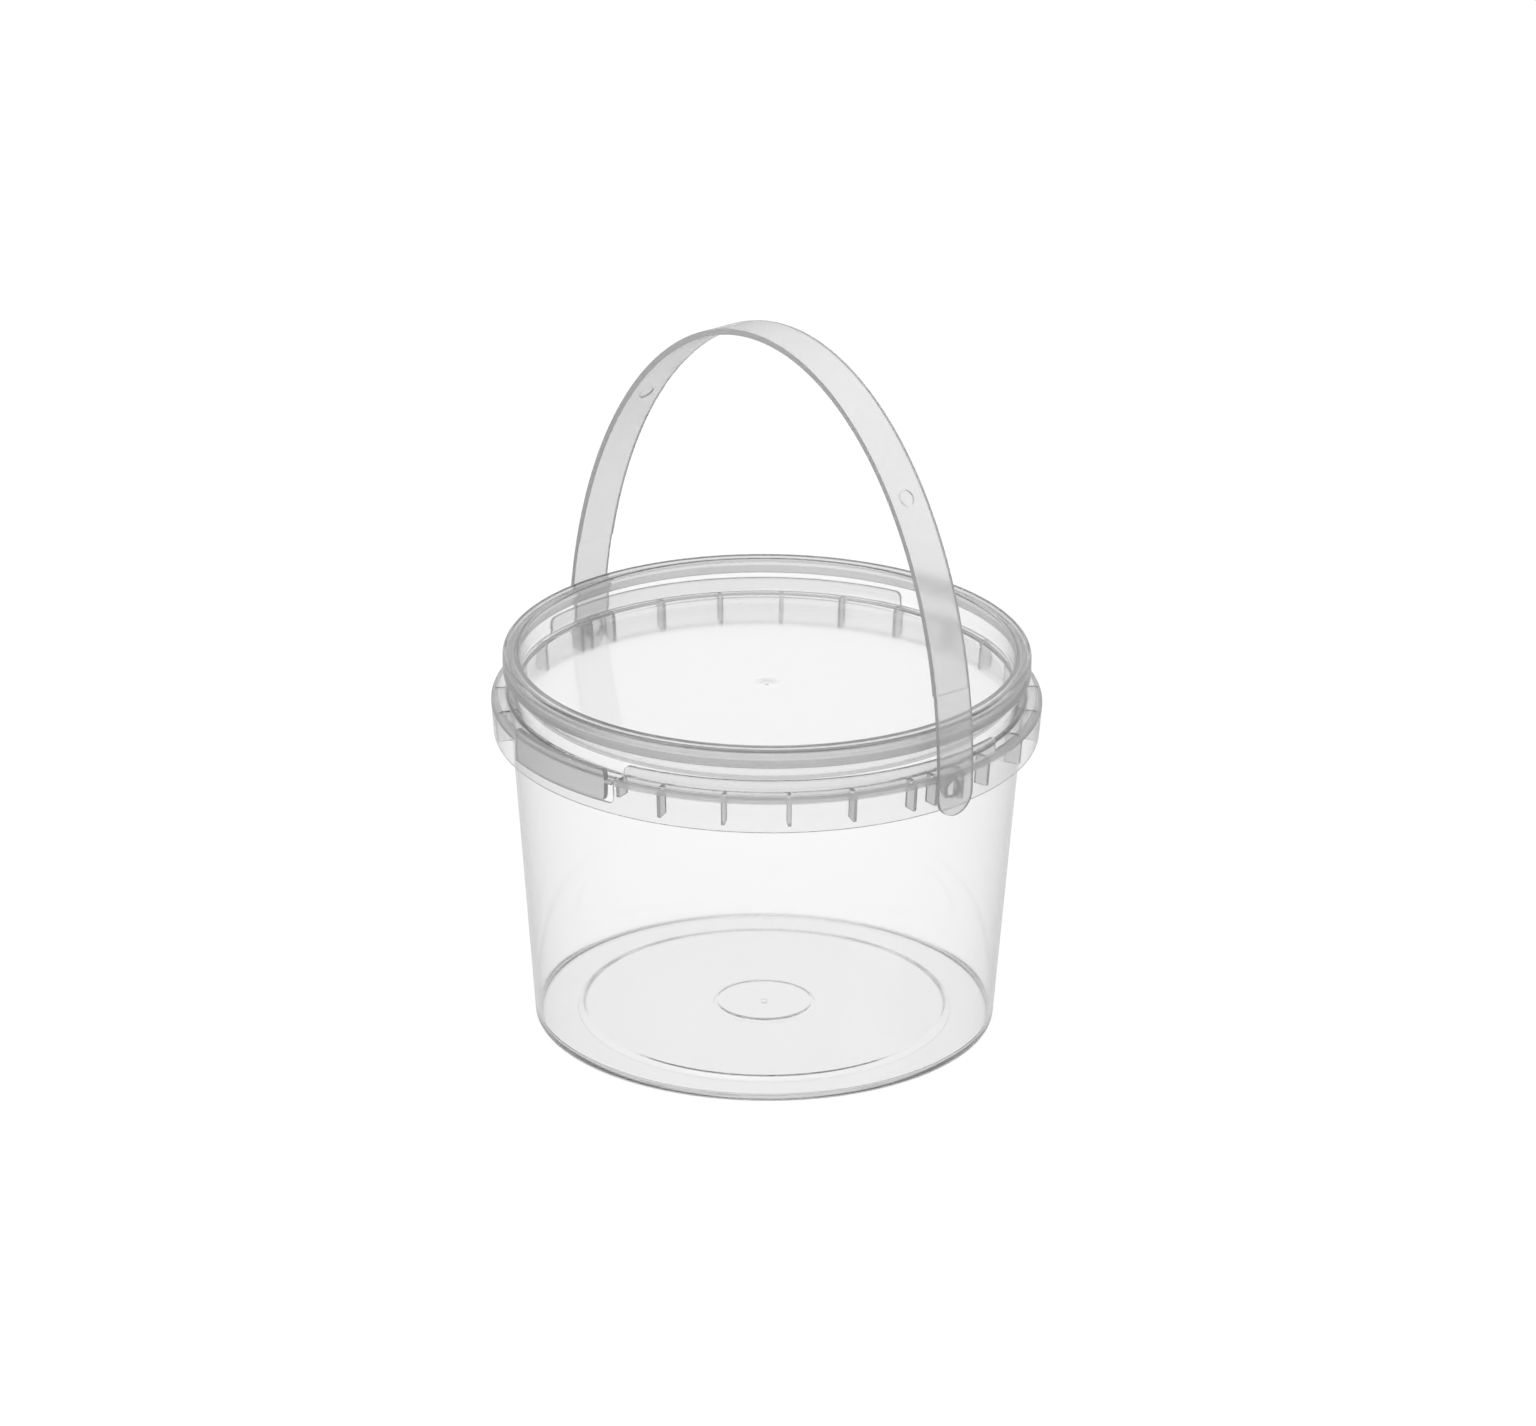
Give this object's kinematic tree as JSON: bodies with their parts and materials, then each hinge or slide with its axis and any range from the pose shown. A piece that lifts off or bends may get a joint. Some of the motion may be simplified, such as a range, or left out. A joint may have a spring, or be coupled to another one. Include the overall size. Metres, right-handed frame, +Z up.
{
  "type": "lidded plastic pail",
  "caption": "Round clear plastic pail with a ribbed skirt, a tear tab, a recessed snap lid and an upright strap handle on two pegs.",
  "frame": {"origin": "centre of the base, at the height that the foot ring stands on", "axes": "+Z up along the tub's axis; X along the handle's pivot axis; -Y towards the tear tab"},
  "size_m": [0.1368, 0.1333, 0.175],
  "materials": {
    "tub_plastic": "natural clear polypropylene, smooth and slightly milky",
    "lid_plastic": "natural clear polypropylene, smooth",
    "handle_plastic": "natural polypropylene, milkier than the tub, satin"
  },
  "bodies": {
    "tub": {"pail_body": "tub_plastic"},
    "lid": {"lid": "lid_plastic"},
    "handle": {"handle": "handle_plastic"},
    "tab": {"tear_tab": "tub_plastic"}
  },
  "joints": [
    {"name": "handle_hinge", "type": "hinge", "parent": "tub", "child": "handle", "pos_m": [0, 0, 0.0794], "axis": [1, 0, 0], "range_deg": [-130, 130]},
    {"name": "lid_lift", "type": "slide", "parent": "tub", "child": "lid", "axis": [0, 0, 1], "range_m": [0, 0.0096]},
    {"name": "tab_hinge", "type": "hinge", "parent": "tub", "child": "tab", "pos_m": [-0.01714, -0.06443, 0.081], "axis": [0, 0, -1], "range_deg": [0, 90]}
  ]
}
